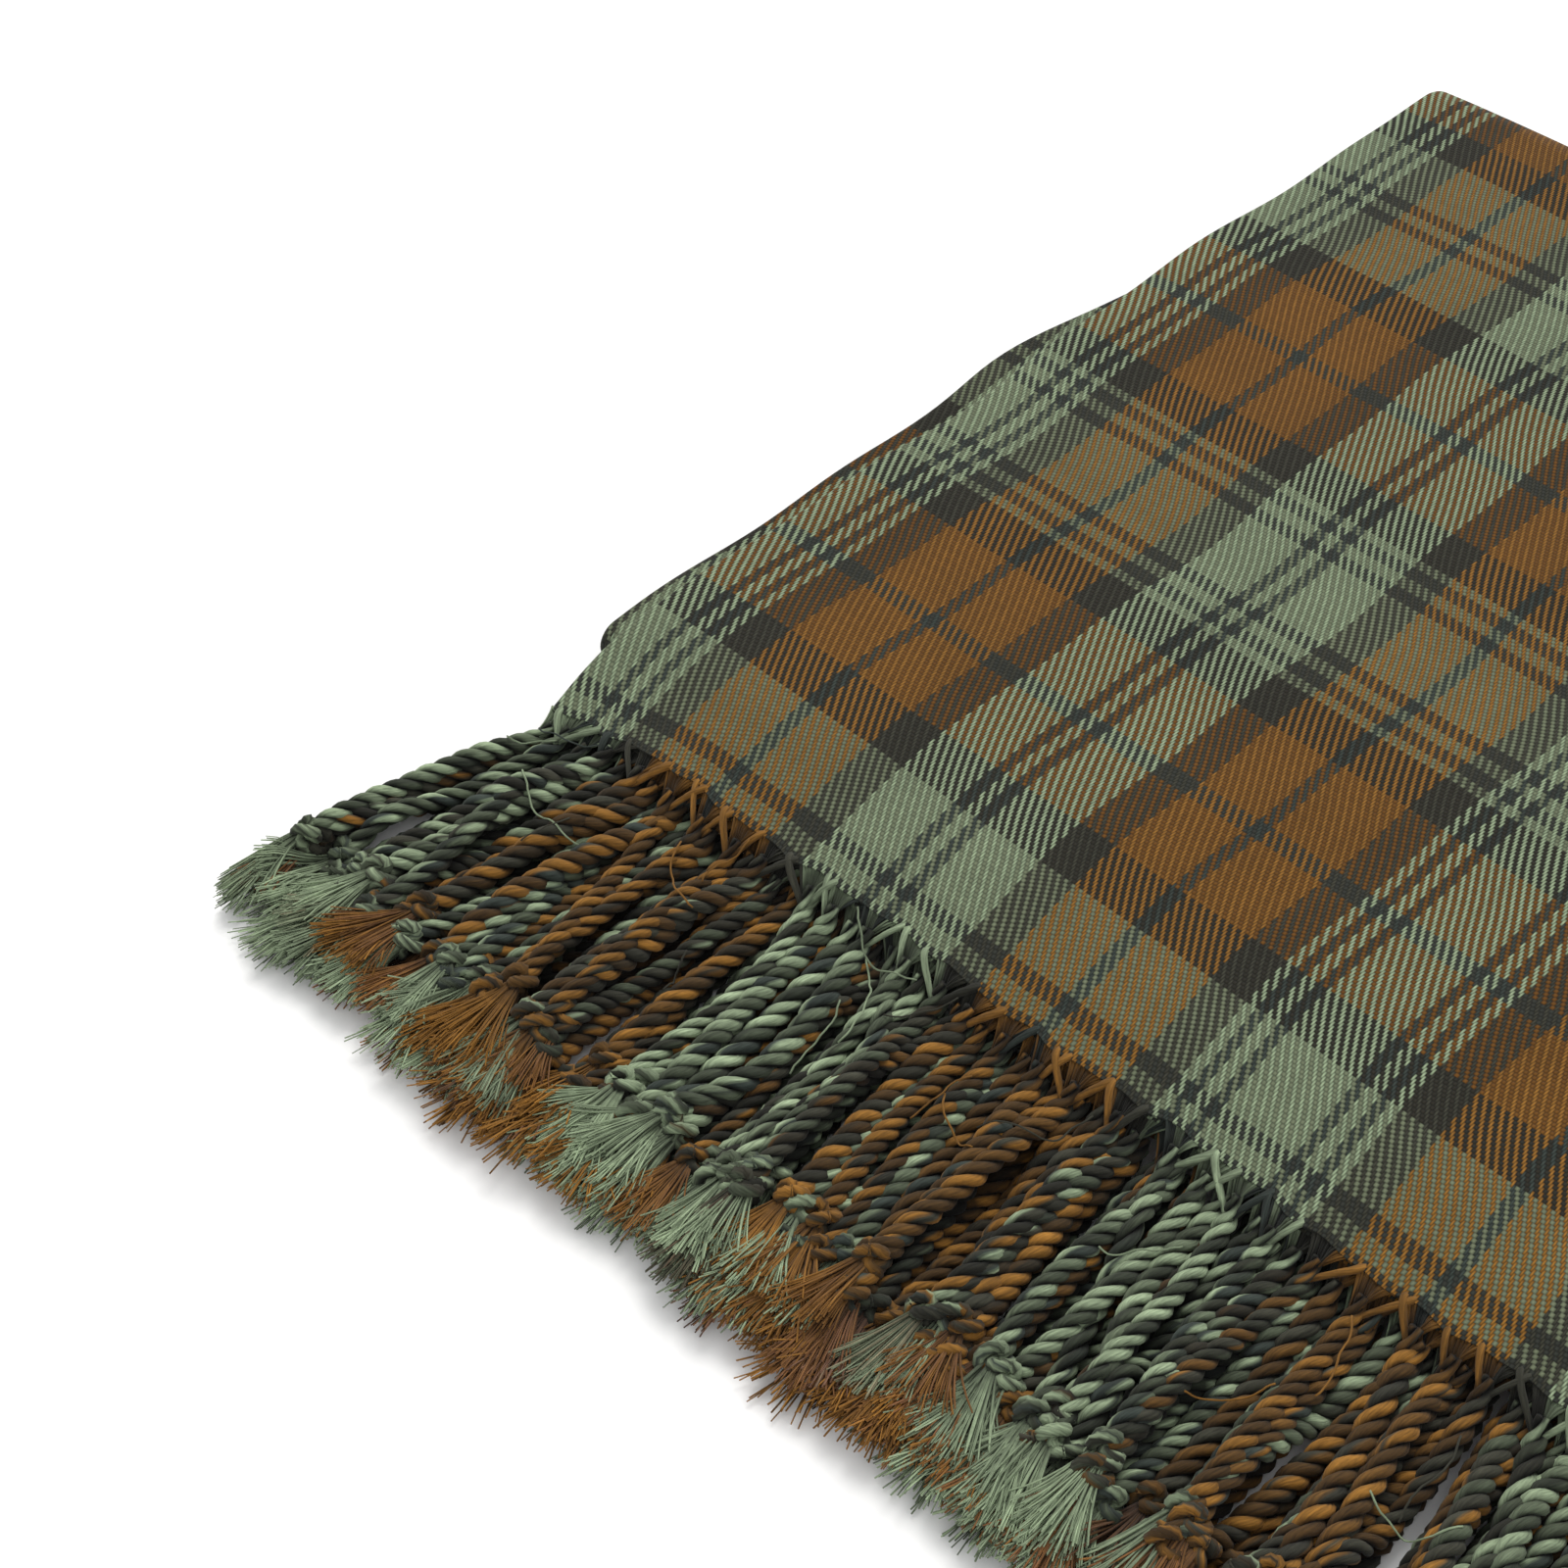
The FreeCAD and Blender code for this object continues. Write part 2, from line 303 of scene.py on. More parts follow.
LIP_FALL, LIP_POWER = 0.0056, 1.7  # the upper half's front edge hangs past the lower half
CORNER_FALL, CORNER_SQUEEZE = 0.0055, 0.22  # its front left corner hangs and closes up
CORNER_WIDTH, CORNER_DEPTH = 0.050, 0.042
OVERHANG, OVERHANG_FALL = 0.045, 0.25  # its right side overhangs and falls by a share of the shift
NEAR_BACK = 0.05  # sideways moves fade out this near the back fold
LEFT_MOVE, LEFT_BULGE = 0.0022, 0.0045  # the left side's slack, and more of it near the front
BULGE_PLACE, BULGE_SPREAD = 0.012, 0.022
EDGE_FADES = 0.02
BACK_FULLER, BACK_WAVE, BACK_TURNS = 0.24, 0.10, 27.0  # the back fold is fuller than half round
BACK_PULL = 0.0008  # and its ends stand clear of the joint's line, so the halves can open flat
SIDE_WAVES = ((0.0012, 33.0, 1.0), (0.0008, 81.0, 0.0))  # share, turns, phase
FRINGED_EDGE = 0.016
FRINGED_WAVES = ((0.0011, 61.0, 0.7), (0.0006, 262.0, 0.0), (0.0005, 417.0, 0.0))


def wavy(at, waves):
    return sum(size * np.sin(at * turns + phase) for size, turns, phase in waves)


def swell(x, y):
    """How much the pack's height varies from place to place, as a share of the height."""
    a = (x - X_LEFT) / FLAT
    b = (y - Y_ROOT) / (Y_BACK - Y_ROOT)
    waves = sum(size * np.sin(p * a + q * b + phase) for size, p, q, phase in LOFT_WAVES)
    edge = np.minimum(a, 1 - a)
    return LOFT + waves - SIDE_DROP * np.exp(-np.clip(edge, 0, 1) / SIDE_REACH)


def lower_shift(y):
    """The lower half lies a little further left, except near the back fold."""
    ended = smoothstep((y - Y_FRONT_FOLD - SHIFT_LASTS) / SHIFT_ENDS)
    return -SHIFT * (1 - ended) - SHIFT_WAVE * np.sin(y * SHIFT_TURNS)


def settle(x, y, z, upper):
    """Moves a point of the neat pack to where soft cloth lies. upper is 1 in the upper half."""
    level = z * swell(x, y)
    lip = np.clip((Y_LIP - y) / (Y_LIP - Y_ROOT), 0, 1.2)
    corner = smoothstep(1 - (x - X_LEFT) / CORNER_WIDTH) * smoothstep(1 - (y - Y_ROOT) / CORNER_DEPTH)
    overhang = smoothstep((x - X_RIGHT + OVERHANG) / OVERHANG) * -lower_shift(y)
    fall = LIP_FALL * lip**LIP_POWER + CORNER_FALL * corner + OVERHANG_FALL * overhang
    base = PLY_Z[HALF]
    squeezed = base + (level - base) * (1 - CORNER_SQUEEZE * corner) - fall
    level = np.where(upper > 0.5, squeezed, level)

    near_back = smoothstep((Y_BACK - y) / NEAR_BACK)
    x = x + np.where(upper > 0.5, 0.0, lower_shift(y) * near_back)
    bulge = np.exp(-(((y - Y_ROOT - BULGE_PLACE) / BULGE_SPREAD) ** 2))
    bulge = bulge * np.where(upper > 0.5, LEFT_BULGE, 0.0)
    x = x - (LEFT_MOVE + bulge) * np.exp(-np.clip(x - X_LEFT, 0, 1) / EDGE_FADES)

    past = np.clip(y - Y_BACK, 0, 1)
    fuller = past * past / FOLD_REACH * (BACK_FULLER + BACK_WAVE * np.sin(x * BACK_TURNS))
    y = y + fuller - BACK_PULL * np.exp(-np.clip(Y_BACK - y, 0, 1) / EDGE_FADES)
    x = x + wavy(y, SIDE_WAVES) * near_back
    edge = np.where(upper > 0.5, smoothstep((Y_ROOT + FRINGED_EDGE - y) / FRINGED_EDGE), 0.0)
    return x, y + edge * wavy(x, FRINGED_WAVES), level


class Stretch:
    """One stretch of the folded length: flat, or round a fold. place runs over a panel's plies."""

    def __init__(self, kind, ply, step, start, end, centre=None, first_angle=0.0):
        self.kind, self.ply, self.step = kind, ply, step
        self.start, self.end, self.centre, self.first_angle = start, end, centre, first_angle

    def at(self, share, place):
        """y and z at a share of the way along, for each ply place."""
        z = PLY_Z[self.ply] + self.step * place * PITCH
        if self.kind == "flat":
            return self.start + (self.end - self.start) * share + 0 * place, z
        cy, cz = self.centre
        radius = np.abs(z - cz)
        angle = self.first_angle + (self.end - self.start) * share
        return cy + radius * np.cos(angle), cz + radius * np.sin(angle)


# The stretches' lengths, and the warp distance at the start of each, from the top fringe to the other.
LENGTH_TOP = Y_BACK - Y_ROOT
OUTER_ARC = math.pi * (PLY_Z[-1] - BACK_Z)
INNER_ARC = math.pi * (PLY_Z[HALF] - BACK_Z)
FRONT_ARC = math.pi * (PLY_Z[HALF - 1] - FRONT_Z)
LENGTH_LOW = Y_BACK - Y_FRONT_FOLD
WARP_TOP = -ROOT_MARGIN
WARP_OUTER = WARP_TOP + LENGTH_TOP
WARP_BOTTOM = WARP_OUTER + OUTER_ARC
WARP_FRONT = WARP_BOTTOM + LENGTH_LOW
WARP_THIRD = WARP_FRONT + FRONT_ARC
WARP_INNER = WARP_THIRD + LENGTH_LOW
WARP_SECOND = WARP_INNER + INNER_ARC
FINE, COARSE = 0.0027, 0.006  # how far apart the sheet's grid lines lie
TOP_ROWS, SECOND_ROWS, LOWER_ROWS = 140, 80, 64
FRONT_ROWS, OUTER_ROWS, INNER_ROWS = 14, 20, 12
THREAD_DRIFT = 1.7  # how far the lower half's threads lie from the upper half's, as a share of its shift


def cloth_piece(name, threads, stretches, upper):
    """A stretch or several of the sheet. threads are distances from the left fold's middle;
    stretches are (Stretch, warp distance at its start, its length, rows)."""
    x0, place = across(threads)
    rows, warps = [], []
    for number, (stretch, begin, length, count) in enumerate(stretches):
        shares = np.linspace(0, 1, count + 1)[(1 if number else 0):]
        for share in shares:
            y, z = stretch.at(share, place)
            rows.append(np.stack(settle(x0, y, z, np.full(len(x0), upper)), -1))
            warps.append(begin + share * length)
    verts = np.array(rows)
    drift = 0.0
    if not upper:
        along = verts[..., 1]
        drift = THREAD_DRIFT * lower_shift(along) * smoothstep((Y_BACK - along) / NEAR_BACK)
    across_warp = threads[None, :] + drift + np.zeros(verts.shape[:2])
    along_warp = np.zeros(verts.shape[:2]) + np.array(warps)[:, None]
    uv = np.stack([across_warp, along_warp], -1).reshape(-1, 2)
    obj = quad_object(name, verts.reshape(-1, 3), grid_quads(*verts.shape[:2]), uv)
    thick = obj.modifiers.new("thickness", "SOLIDIFY")
    thick.thickness = CLOTH * CLOTH_SHARE
    thick.offset = 0.0
    solid = bpy.data.meshes.new_from_object(obj.evaluated_get(bpy.context.evaluated_depsgraph_get()))
    solid.set_sharp_from_angle(angle=RIM_ANGLE)
    obj.modifiers.clear()
    obj.data = solid
    return obj


def spaced(start, end, step):
    return np.linspace(start, end, max(2, int(round(abs(end - start) / step)) + 1))


def thread_lines(fine, coarse):
    """Distances across the sheet: fine on the outer ply, coarse inside, close together in the folds."""
    fold = np.linspace(FOLD_ARC / 2, -FOLD_ARC / 2, 9)
    parts = [
        spaced(FLAT_END_1, FOLD_ARC / 2, fine)[:-1],
        fold[:-1],
        spaced(-FOLD_ARC / 2, FLAT_END_2, coarse)[:-1],
        (fold + FLAT_END_2 - FOLD_ARC / 2)[:-1],
        spaced(FLAT_END_2 - FOLD_ARC, FLAT_END_3, coarse),
    ]
    return np.concatenate(parts)


def build_panels():
    """The flat panels: the top one, the one under it, and the lower half's two with their front fold."""
    top = Stretch("flat", PLIES - 1, -1, Y_ROOT, Y_BACK)
    second = Stretch("flat", HALF, 1, Y_BACK, Y_ROOT + SECOND_SET_BACK)
    bottom = Stretch("flat", 0, 1, Y_BACK, Y_FRONT_FOLD)
    front = Stretch("round", 0, 1, math.pi, 0.0, (Y_FRONT_FOLD, FRONT_Z), -math.pi / 2)
    third = Stretch("flat", HALF - 1, -1, Y_FRONT_FOLD, Y_BACK)
    coarse = thread_lines(COARSE, COARSE)
    lower = [
        (bottom, WARP_BOTTOM, LENGTH_LOW, LOWER_ROWS),
        (front, WARP_FRONT, FRONT_ARC, FRONT_ROWS),
        (third, WARP_THIRD, LENGTH_LOW, LOWER_ROWS),
    ]
    parts = (
        ("cloth_top_panel", thread_lines(FINE, COARSE), [(top, WARP_TOP, LENGTH_TOP, TOP_ROWS)], 1.0),
        ("cloth_second_panel", coarse, [(second, WARP_SECOND, LENGTH_TOP, SECOND_ROWS)], 1.0),
        ("cloth_lower_panels", coarse, lower, 0.0),
    )
    return {part[0]: cloth_piece(*part) for part in parts}


def build_back_folds():
    """The back fold, ply by ply: each bend carries the side fold that starts at its inner edge."""
    near = 1e-9
    full = thread_lines(COARSE, COARSE)
    first = full[full >= -FOLD_ARC / 2 - near]
    middle = full[(full <= -FOLD_ARC / 2 + near) & (full >= FLAT_END_2 - FOLD_ARC - near)]
    last = full[full <= FLAT_END_2 - FOLD_ARC + near]
    centre = (Y_BACK, BACK_Z)
    outer = Stretch("round", PLIES - 1, -1, math.pi, 0.0, centre, math.pi / 2)
    inner = Stretch("round", HALF, 1, math.pi, 0.0, centre, math.pi / 2)
    made = {}
    for number, threads in enumerate((first, middle, last)):
        for ply, stretch in (
            (6 - number, (outer, WARP_OUTER, OUTER_ARC, OUTER_ROWS)),
            (1 + number, (inner, WARP_SECOND, -INNER_ARC, INNER_ROWS)),
        ):
            name = "cloth_back_fold_%d" % ply
            made[name] = cloth_piece(name, threads, [stretch], 0.0)
    return made


# ---------------------------------------------------------------------------------------------
# The fringe
# ---------------------------------------------------------------------------------------------
CORDS = 35
CORD_PITCH = FLAT / CORDS
CORD_R = 0.0032
TWIST_PITCH = 0.0155
CORD_PLIES = 3
KNOT_R = 0.0042
CORD_LENGTH = 0.079
UNDER_LONGER = 0.004  # the underlying rows' cords
BRUSH_LENGTH = 0.025
BRUSH_R = 0.004
YARN_R = 0.00027
STRAYS, STRAY_POINTS = 22, 22
BUNDLE_POINTS = 14
GATHERED = 24  # a cord's single yarns at the cloth's edge
SEED = 41
MAP_STEP = 0.001
MAP_SIDE, MAP_FRONT = 0.06, 0.03  # how far the height map reaches past the cloth
ROUTE_STEP = 0.001
CEILING, CEILING_DROP = 0.0265, 0.0095  # the pressed pile's most height, and how much less at the knots
HEM, HEM_SLACK = 0.229, 0.0100
LEAN, LEFT_LEAN, LEAN_WAVE, LEFT_REACH = 4.5, 19.0, 3.0, 0.10  # degrees, and a share of the width
SWAY, SKEW = 7, 5.0  # degrees that a cord strays
REST_SHARE, REACH_SHARE = 0.9, 0.72  # a resting cord's height and the width that rests, in radii
HELD = 0.022  # a cord's start is held up by the cloth's edge over this length
DROOP, SAG, SAG_POWER = 0.10, 2.2, 1.7
TAPER = 0.009  # a cord thickens over this length
# painted shade in the grooves where a cord's plies meet, and painted highlight on the plies' outer crests
GROOVE_PAINTED_SHADE, CREST_PAINTED_LIGHT = 0.05, 1.10
GROOVE_FROM, GROOVE_WIDE = 0.60, 0.39  # where a ply's painted groove shade gives way to its painted crest highlight, in cord radii
PLY_OUT, PLY_R = 0.56, 0.44  # where a ply lies in the cord and how thick it is, in cord radii
LUMP, CORD_LUMPS, PLY_LUMPS = 0.05, 420, 900
KNOT_LOOP, KNOT_WEAVE, KNOT_TALL, KNOT_YARN = 0.56, 0.36, 1.7, 0.40  # in knot radii
BRUSH_OPEN, BRUSH_THICK = (0.16, 0.36), (0.0040, 0.0070)
STRAND_POINTS = 6
CURL, FLARE = 7.0, 9.0  # radians for each metre
ROOT_WIDE, ROOT_TALL = 0.0020, 0.0016  # the brush where it leaves the knot
OWN_COLOUR = 0.45  # the rest is the brush's mean
# painted shade at a brush's root, where its strands crowd at the knot, rising to painted light at its tips
BRUSH_ROOT_PAINTED_SHADE, BRUSH_TIP_PAINTED_LIGHT = 0.70, 1.00
DARK_PLY, DARKER_PLY, EVEN_PLY, DARKER_OFTEN = 0.10, 0.34, 0.88, 0.6
SLATE_DARK, SLATE_OWN = 0.22, 0.13
FINE_ROW = 3  # rows from this one up are in sight and have more detail
CORD_DETAIL = {True: (0.0011, 8), False: (0.0018, 6)}  # step and sides
KNOT_DETAIL = {True: (40, 8), False: (26, 6)}  # points and sides
STRANDS = {True: 110, False: 56}
UNRULY = (0.25, 0.25, 0.7, 0.7, 1.0, 1.0)  # how uneven each row's cords lie


def sett_colour(thread):
    """The colour of the warp thread at this distance from the left fold's middle."""
    c = abs(((thread / UNIT + HALF_REPEAT) % (2 * HALF_REPEAT)) - HALF_REPEAT)
    for edge, colour in reversed(SETT):
        if c >= edge:
            return np.array(colour)
    return np.array(PALE)


class HeightMap:
    """How high and how low the fringe is piled, on a fine grid in front of the cloth."""

    def __init__(self):
        self.x0, self.y0 = X_LEFT - MAP_SIDE, CAD_BOX[0][1] - MAP_FRONT
        nx = int((X_RIGHT + MAP_SIDE - self.x0) / MAP_STEP)
        ny = int((Y_ROOT + MAP_FRONT - self.y0) / MAP_STEP)
        self.h = np.zeros((nx, ny))
        self.low = np.full((nx, ny), PACK_TOP)

    def cells(self, x, y, radius):
        """The cells within radius of a place, and their squared distances from it."""
        n = int(math.ceil(radius / MAP_STEP))
        i, j = int((x - self.x0) / MAP_STEP), int((y - self.y0) / MAP_STEP)
        i0, i1 = max(i - n, 0), min(i + n + 1, self.h.shape[0])
        j0, j1 = max(j - n, 0), min(j + n + 1, self.h.shape[1])
        if i0 >= i1 or j0 >= j1:
            return None
        gx = (np.arange(i0, i1) + 0.5) * MAP_STEP + self.x0 - x
        gy = (np.arange(j0, j1) + 0.5) * MAP_STEP + self.y0 - y
        return (slice(i0, i1), slice(j0, j1)), gx[:, None] ** 2 + gy[None, :] ** 2

    def support(self, x, y, radius):
        """The height at which a cord's underside rests here."""
        found = self.cells(x, y, radius)
        if found is None:
            return 0.0
        where, d2 = found
        lift = radius - np.sqrt(np.clip(radius**2 - d2, 0, None))
        resting = np.where(d2 < radius**2, self.h[where] - lift, 0.0)
        return float(resting.max())

    def depth(self, verts):
        """How deep points lie in the pile, from its upper or its lower face."""
        i = np.clip(((verts[:, 0] - self.x0) / MAP_STEP).astype(int), 0, self.h.shape[0] - 1)
        j = np.clip(((verts[:, 1] - self.y0) / MAP_STEP).astype(int), 0, self.h.shape[1] - 1)
        from_top, from_below = self.h[i, j] - verts[:, 2], verts[:, 2] - self.low[i, j]
        return np.clip(np.minimum(from_top, from_below) - SHADE_STARTS, 0, None)

    def lay(self, path, radius):
        """Adds a cord to the pile."""
        for x, y, z in path:
            found = self.cells(x, y, radius)
            if found is None:
                continue
            where, d2 = found
            half = np.sqrt(np.clip(radius**2 - d2, 0, None))
            high, low = np.maximum(self.h[where], z + half), np.minimum(self.low[where], z - half)
            self.h[where] = np.where(d2 < radius**2, high, self.h[where])
            self.low[where] = np.where(d2 < radius**2, low, self.low[where])


def pressed(z, s, length):
    """The height after the pile's own weight has pressed it down: never above the ceiling."""
    ceiling = CEILING - CEILING_DROP * np.clip(s / length, 0, 1)
    return ceiling * (1 - np.exp(-z / ceiling))


def hemmed(x):
    """Keeps the fringe's outermost yarns beside the pack."""
    over = np.clip(np.abs(x) - HEM, 0, None)
    return np.where(over > 0, np.sign(x) * (HEM + HEM_SLACK * np.tanh(over / HEM_SLACK)), x)


def smooth(values, width):
    kernel = np.exp(-0.5 * (np.arange(-3 * width, 3 * width + 1) / width) ** 2)
    kernel /= kernel.sum()
    return np.convolve(np.pad(values, 3 * width, mode="edge"), kernel, mode="valid")


def cloth_end(x, ply):
    """Where a ply's fringed edge lies at x."""
    place = PLIES - 1 - ply if ply >= HALF + WIDTH_FOLDS else ply - HALF
    y = Y_ROOT + (0.0 if ply >= HALF + WIDTH_FOLDS else SECOND_SET_BACK)
    px, py, pz = settle(np.array(x), np.array(y), np.array(PLY_Z[ply]), np.array(1.0))
    return np.array([float(px), float(py), float(pz)]), place


def cord_route(rng, heights, start, lean, length, unruly):
    """A cord's centreline from the cloth's edge to its knot, resting on what is already there: as it
    would lie loose, and as it lies pressed. unruly is how much it strays from straight."""
    s = np.arange(int(length / ROUTE_STEP) + 1) * ROUTE_STEP
    swing = math.radians(rng.normal(0, SWAY) * unruly)
    sway = swing * np.sin(s / length * math.pi * rng.uniform(0.8, 2.0) + rng.uniform(0, 6))
    heading = lean + math.radians(rng.normal(0, SKEW) * unruly) + sway
    x = start[0] + np.cumsum(np.sin(heading)) * ROUTE_STEP
    y = start[1] - np.cumsum(np.cos(heading)) * ROUTE_STEP
    least = CORD_R * REST_SHARE
    below = np.array([heights.support(a, b, CORD_R * REACH_SHARE) for a, b in zip(x, y)])
    rest = below * smoothstep(s / HELD) + least
    free = start[2] - DROOP * s - SAG * s**SAG_POWER
    z = smooth(np.maximum(np.maximum(free, rest), smooth(rest, 4)), 4)
    z = np.maximum(z, least)
    low = np.maximum(pressed(z, s, length), least)
    low = start[2] + (low - start[2]) * smoothstep(s / TAPER)
    return np.stack([x, y, z], -1), np.stack([x, y, low], -1)


def painted_ply_light(verts, centre_line, size, sides):
    """Painted shade where the plies meet, and painted highlight on their crests: a share from the distance to
    the cord's centre.
    """
    middle = np.repeat(centre_line, sides, axis=0)
    gap = np.linalg.norm(verts - middle, axis=1) / np.repeat(size, sides)
    return GROOVE_PAINTED_SHADE + CREST_PAINTED_LIGHT * smoothstep((gap - GROOVE_FROM) / GROOVE_WIDE)


def twisted_cord(rng, pile, path, plies, detail):
    """Plies of yarn laid round each other along path. plies holds each one's colours."""
    step, sides = CORD_DETAIL[detail]
    along = lengths(path)
    s = np.linspace(0, along[-1], int(along[-1] / step) + 1)
    centre = np.stack([np.interp(s, along, path[:, k]) for k in range(3)], -1)
    _, side, up = frames(centre)
    pitch = TWIST_PITCH * rng.uniform(0.88, 1.15)
    size = CORD_R * rng.uniform(0.88, 1.14) * (0.55 + 0.45 * smoothstep(s / TAPER))
    size = size * (1 + LUMP * np.sin(s * CORD_LUMPS + rng.uniform(0, 6)))
    start = rng.uniform(0, 2 * math.pi)
    for number, colours in enumerate(plies):
        phase = start + number * 2 * math.pi / CORD_PLIES + 2 * math.pi * s / pitch
        offset = side * np.cos(phase)[:, None] + up * np.sin(phase)[:, None]
        line = centre + offset * (size * PLY_OUT)[:, None]
        wobble = 1 + LUMP * np.sin(s * PLY_LUMPS + number * 2.0)
        tube(pile, line, size * PLY_R * wobble, sides, colours[:sides], turn=-math.pi / pitch)
        # painted shade in the grooves and painted highlight on the crests
        pile.colour[-1] = pile.colour[-1] * painted_ply_light(pile.verts[-1], centre, size, sides)[:, None]


def knot(rng, pile, at, direction, colours, detail):
    """An overhand knot: a short trefoil drawn tight round the cord's end."""
    n, sides = KNOT_DETAIL[detail]
    t = np.linspace(0, 2 * math.pi, n, endpoint=False)
    t = np.append(t, 2 * math.pi + t[1] * 0.5)
    big, small = KNOT_R * KNOT_LOOP, KNOT_R * KNOT_WEAVE
    radial = big + small * np.cos(3 * t)
    rise = small * KNOT_TALL * np.sin(3 * t)
    local = np.stack([radial * np.cos(2 * t), radial * np.sin(2 * t), rise], -1)
    local *= rng.uniform(0.92, 1.12)
    axis = direction / np.linalg.norm(direction)
    side = np.cross(axis, [0, 0, 1.0])
    side /= np.linalg.norm(side)
    up = np.cross(side, axis)
    spin = rng.uniform(0, 2 * math.pi)
    a = side * math.cos(spin) + up * math.sin(spin)
    b = np.cross(axis, a)
    line = at + local[:, :1] * a + local[:, 1:2] * b + local[:, 2:] * axis
    line[:, 2] = np.maximum(line[:, 2], KNOT_R * 0.42)
    tube(pile, line, KNOT_R * KNOT_YARN, sides, colours[:sides], turn=500.0)


def brush(rng, pile, heights, at, direction, colours, strands):
    """The loose yarn ends beyond a knot, splayed and lying on what is below."""
    heading = math.atan2(direction[0], -direction[1])
    open_angle = rng.uniform(*BRUSH_OPEN)
    reach = BRUSH_LENGTH * rng.uniform(0.95, 1.15)
    thick = rng.uniform(*BRUSH_THICK)
    usual = colours.mean(axis=0)
    for k in range(strands):
        share, rise = rng.uniform(-1, 1), rng.uniform(-1, 1)
        angle = heading + share * open_angle
        length = reach * (1 - 0.12 * share**2) * rng.uniform(0.80, 1.04)
        s = np.linspace(0, length, STRAND_POINTS)
        step = length / (STRAND_POINTS - 1)
        turned = angle + rng.normal(0, CURL) * s + share * FLARE * s
        x = at[0] + share * ROOT_WIDE + np.concatenate([[0], np.cumsum(np.sin(turned[1:]) * step)])
        y = at[1] - np.concatenate([[0], np.cumsum(np.cos(turned[1:]) * step)])
        floor = max(heights.support(x[-2], y[-2], 0.002), 0.0) * 0.85 + 0.0006
        z_end = floor + (0.5 + 0.5 * rise * math.sqrt(1 - share**2)) * thick
        z_start = at[2] + rise * ROOT_TALL
        z = z_start + (z_end - z_start) * smoothstep(s / length * 0.95)
        z = np.maximum(z, YARN_R + 0.0001)
        own = colours[int(rng.integers(len(colours)))]
        # the last factor is painted shade: strands that lie lower in the brush are darker
        colour = (OWN_COLOUR * own + (1 - OWN_COLOUR) * usual) * rng.uniform(0.82, 1.2) * (0.82 + 0.25 * rise)
        radius = YARN_R * rng.uniform(0.75, 1.25) * np.linspace(1.35, 0.75, len(s))
        tube(pile, np.stack([x, y, z], -1), radius, 4, np.tile(colour, (4, 1)))
        # painted shade at the root, painted light towards the tips
        painted_brush_light = BRUSH_ROOT_PAINTED_SHADE + BRUSH_TIP_PAINTED_LIGHT * smoothstep(np.repeat(s, 4) / length)
        pile.colour[-1] = pile.colour[-1] * painted_brush_light[:, None]


def arc_between(start, bow, before_end, end, points):
    """A smooth curve from start to end, drawn towards the two middle points."""
    t = np.linspace(0, 1, points)[:, None]
    line = (1 - t) ** 3 * start + 3 * (1 - t) ** 2 * t * bow
    return line + 3 * (1 - t) * t**2 * before_end + t**3 * end


def gather(rng, pile, edge_ply, root_x, place, path):
    """The warp ends between the cloth's edge and the start of a cord's twist."""
    join = path[8]
    towards = path[14] - join
    for share in np.linspace(-0.5, 0.5, GATHERED):
        x = root_x + share * CORD_PITCH * 1.02
        start, _ = cloth_end(x, edge_ply)
        start = start + [0, 0.0016, rng.uniform(-0.0004, 0.0006)]
        colour = sett_colour(thread_at(x, place)) * rng.uniform(0.6, 1.0)
        spin = share * 2 * math.pi + rng.uniform(-0.5, 0.5)
        end = join + np.array([math.cos(spin), 0, math.sin(spin)]) * CORD_R * 0.5
        bow = start + [-share * CORD_PITCH * 0.45, -0.0030, 0.0006 + 0.0010 * abs(share)]
        line = arc_between(start, bow, end - towards * 0.35, end, 9)
        tube(pile, line, YARN_R * 1.15, 4, np.tile(colour, (4, 1)))


def root_bundles(rng, pile, edge_ply, root_x, place, path):
    """A few thicker bundles of ends that run along the edge before they join a cord."""
    join = path[9]
    onward = path[16] - join
    for side in rng.permutation([-1, 1])[: int(rng.integers(1, 3))]:
        x = np.clip(root_x + side * CORD_PITCH * rng.uniform(0.35, 0.85), X_LEFT + 0.001, X_RIGHT - 0.001)
        start, _ = cloth_end(x, edge_ply)
        start = start + [0, 0.0012, 0.0002]
        bow = start + [-side * 0.0006, -0.0048, 0.0022]
        line = arc_between(start, bow, join - onward * 0.5, join + [0, 0, CORD_R * 0.35], BUNDLE_POINTS)
        main = sett_colour(thread_at(x, place)) * rng.uniform(0.8, 1.15)
        colours = np.array([main * rng.uniform(0.6, 1.15) for _ in range(8)])
        radius = rng.uniform(0.0009, 0.0013) * np.linspace(1.0, 0.65, BUNDLE_POINTS)
        tube(pile, line, radius, 8, colours, turn=140.0)


def cord_colours(rng, x, place):
    """Each ply's colours, one for each side of it, from the warp ends it is made of. One ply, and often a
    second, is darkened and mixed towards slate."""
    plies = []
    tint = rng.uniform(0.85, 1.2)
    second = DARKER_PLY if rng.random() < DARKER_OFTEN else EVEN_PLY
    darker = rng.permutation([DARK_PLY, second, 1.0])
    for number in range(CORD_PLIES):
        spots = x + CORD_PITCH * (number - 1 + np.linspace(-0.45, 0.45, 8)) * 0.55
        own = np.array([sett_colour(thread_at(spot, place)) for spot in spots]) * tint
        slate = np.array(DARK) * SLATE_DARK + own.mean(axis=0) * SLATE_OWN
        plies.append(own * darker[number] + slate * (1 - darker[number]))
    return plies


